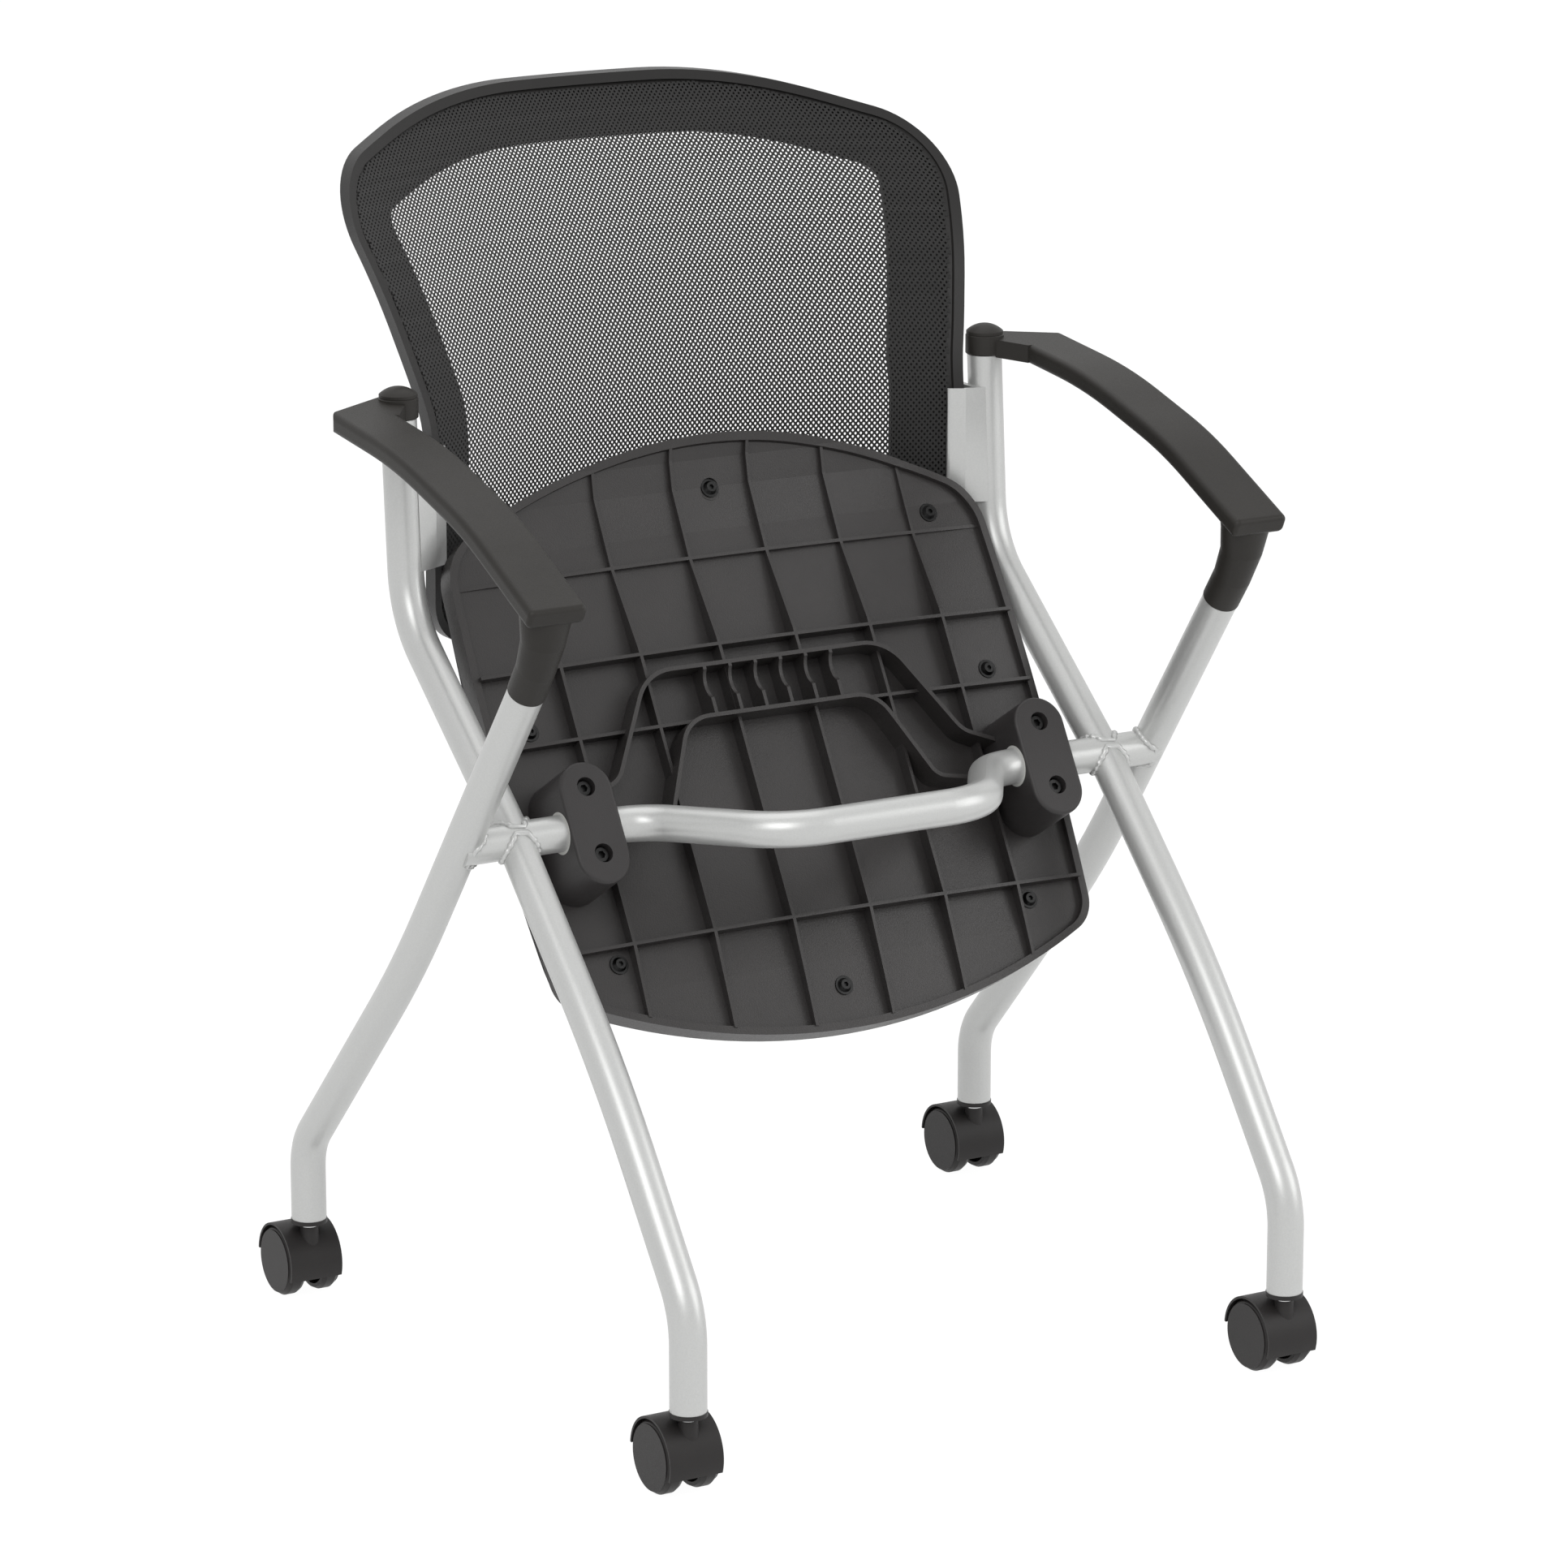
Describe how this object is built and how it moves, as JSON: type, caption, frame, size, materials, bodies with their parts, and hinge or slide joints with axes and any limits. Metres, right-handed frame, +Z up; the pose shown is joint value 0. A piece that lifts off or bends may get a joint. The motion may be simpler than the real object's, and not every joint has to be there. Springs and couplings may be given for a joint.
{
  "type": "nesting chair",
  "caption": "Nesting office chair: tubular steel frame on twin-wheel casters, leaning mesh back, moulded armrests, and a padded seat that flips up on the cross tube",
  "frame": {"origin": "on the floor, under the middle of the whole chair's bounding box", "axes": "+Z up, -Y the front of the chair, +X to the right as seen from the front"},
  "size_m": [0.6058, 0.6131, 0.8555],
  "materials": {
    "frame_steel": "silver grey powder coat",
    "insert_plastic": "moulded",
    "stem_steel": "bright plated",
    "wheel_plastic": "moulded",
    "hood_plastic": "moulded",
    "mesh_cloth": "open weave, stretched",
    "edging_plastic": "moulded",
    "back_plastic": "fine textured",
    "pan_plastic": "fine textured",
    "board_wood": "plain",
    "cushion_cloth": "plain weave",
    "pivot_plastic": "fine textured",
    "bush_plastic": "smooth",
    "screw_steel": "black",
    "washer_steel": "dark",
    "arm_plastic": "fine textured"
  },
  "bodies": {
    "root": {"back_edging": "edging_plastic", "back_frame": "back_plastic", "back_mesh": "mesh_cloth", "bracket_screws": "screw_steel", "cross_tube": "frame_steel", "front_left_caster_stem": "stem_steel", "front_left_leg_insert": "insert_plastic", "front_right_caster_stem": "stem_steel", "front_right_leg_insert": "insert_plastic", "left_arm_cap": "arm_plastic", "left_arm_leg_tube": "frame_steel", "left_armrest": "arm_plastic", "left_back_bracket": "frame_steel", "left_back_upright": "frame_steel", "left_front_leg": "frame_steel", "rear_left_caster_stem": "stem_steel", "rear_left_leg_insert": "insert_plastic", "rear_right_caster_stem": "stem_steel", "rear_right_leg_insert": "insert_plastic", "right_arm_cap": "arm_plastic", "right_arm_leg_tube": "frame_steel", "right_armrest": "arm_plastic", "right_back_bracket": "frame_steel", "right_back_upright": "frame_steel", "right_front_leg": "frame_steel"},
    "seat": {"left_pivot_base": "pivot_plastic", "left_pivot_bush": "bush_plastic", "left_pivot_cap": "pivot_plastic", "pan_screws": "screw_steel", "pan_washers": "washer_steel", "pivot_screws": "screw_steel", "right_pivot_base": "pivot_plastic", "right_pivot_bush": "bush_plastic", "right_pivot_cap": "pivot_plastic", "seat_board": "board_wood", "seat_cushion": "cushion_cloth", "seat_pan": "pan_plastic"},
    "front_left_caster": {"front_left_caster_hood": "hood_plastic", "front_left_caster_axle": "stem_steel"},
    "front_left_wheel_a": {"front_left_caster_wheel_a": "wheel_plastic"},
    "front_left_wheel_b": {"front_left_caster_wheel_b": "wheel_plastic"},
    "front_right_caster": {"front_right_caster_hood": "hood_plastic", "front_right_caster_axle": "stem_steel"},
    "front_right_wheel_a": {"front_right_caster_wheel_a": "wheel_plastic"},
    "front_right_wheel_b": {"front_right_caster_wheel_b": "wheel_plastic"},
    "rear_left_caster": {"rear_left_caster_hood": "hood_plastic", "rear_left_caster_axle": "stem_steel"},
    "rear_left_wheel_a": {"rear_left_caster_wheel_a": "wheel_plastic"},
    "rear_left_wheel_b": {"rear_left_caster_wheel_b": "wheel_plastic"},
    "rear_right_caster": {"rear_right_caster_hood": "hood_plastic", "rear_right_caster_axle": "stem_steel"},
    "rear_right_wheel_a": {"rear_right_caster_wheel_a": "wheel_plastic"},
    "rear_right_wheel_b": {"rear_right_caster_wheel_b": "wheel_plastic"}
  },
  "joints": [
    {"name": "seat_flip", "type": "hinge", "parent": "root", "child": "seat", "pos_m": [0, -0.05297, 0.3938], "axis": [1, 0, 0], "range_deg": [0, 121.36]},
    {"name": "front_left_swivel", "type": "hinge", "parent": "root", "child": "front_left_caster", "pos_m": [-0.238, -0.29347, 0.04], "axis": [0, 0, 1], "continuous": true},
    {"name": "front_left_wheel_a_spin", "type": "hinge", "parent": "front_left_caster", "child": "front_left_wheel_a", "pos_m": [-0.252, -0.27747, 0.0255], "axis": [1, 0, 0], "continuous": true},
    {"name": "front_left_wheel_b_spin", "type": "hinge", "parent": "front_left_caster", "child": "front_left_wheel_b", "pos_m": [-0.224, -0.27747, 0.0255], "axis": [1, 0, 0], "continuous": true},
    {"name": "front_right_swivel", "type": "hinge", "parent": "root", "child": "front_right_caster", "pos_m": [0.238, -0.29347, 0.04], "axis": [0, 0, 1], "continuous": true},
    {"name": "front_right_wheel_a_spin", "type": "hinge", "parent": "front_right_caster", "child": "front_right_wheel_a", "pos_m": [0.224, -0.27747, 0.0255], "axis": [1, 0, 0], "continuous": true},
    {"name": "front_right_wheel_b_spin", "type": "hinge", "parent": "front_right_caster", "child": "front_right_wheel_b", "pos_m": [0.252, -0.27747, 0.0255], "axis": [1, 0, 0], "continuous": true},
    {"name": "rear_left_swivel", "type": "hinge", "parent": "root", "child": "rear_left_caster", "pos_m": [-0.282, 0.19053, 0.04], "axis": [0, 0, 1], "continuous": true},
    {"name": "rear_left_wheel_a_spin", "type": "hinge", "parent": "rear_left_caster", "child": "rear_left_wheel_a", "pos_m": [-0.296, 0.20653, 0.0255], "axis": [1, 0, 0], "continuous": true},
    {"name": "rear_left_wheel_b_spin", "type": "hinge", "parent": "rear_left_caster", "child": "rear_left_wheel_b", "pos_m": [-0.268, 0.20653, 0.0255], "axis": [1, 0, 0], "continuous": true},
    {"name": "rear_right_swivel", "type": "hinge", "parent": "root", "child": "rear_right_caster", "pos_m": [0.282, 0.19053, 0.04], "axis": [0, 0, 1], "continuous": true},
    {"name": "rear_right_wheel_a_spin", "type": "hinge", "parent": "rear_right_caster", "child": "rear_right_wheel_a", "pos_m": [0.268, 0.20653, 0.0255], "axis": [1, 0, 0], "continuous": true},
    {"name": "rear_right_wheel_b_spin", "type": "hinge", "parent": "rear_right_caster", "child": "rear_right_wheel_b", "pos_m": [0.296, 0.20653, 0.0255], "axis": [1, 0, 0], "continuous": true}
  ]
}
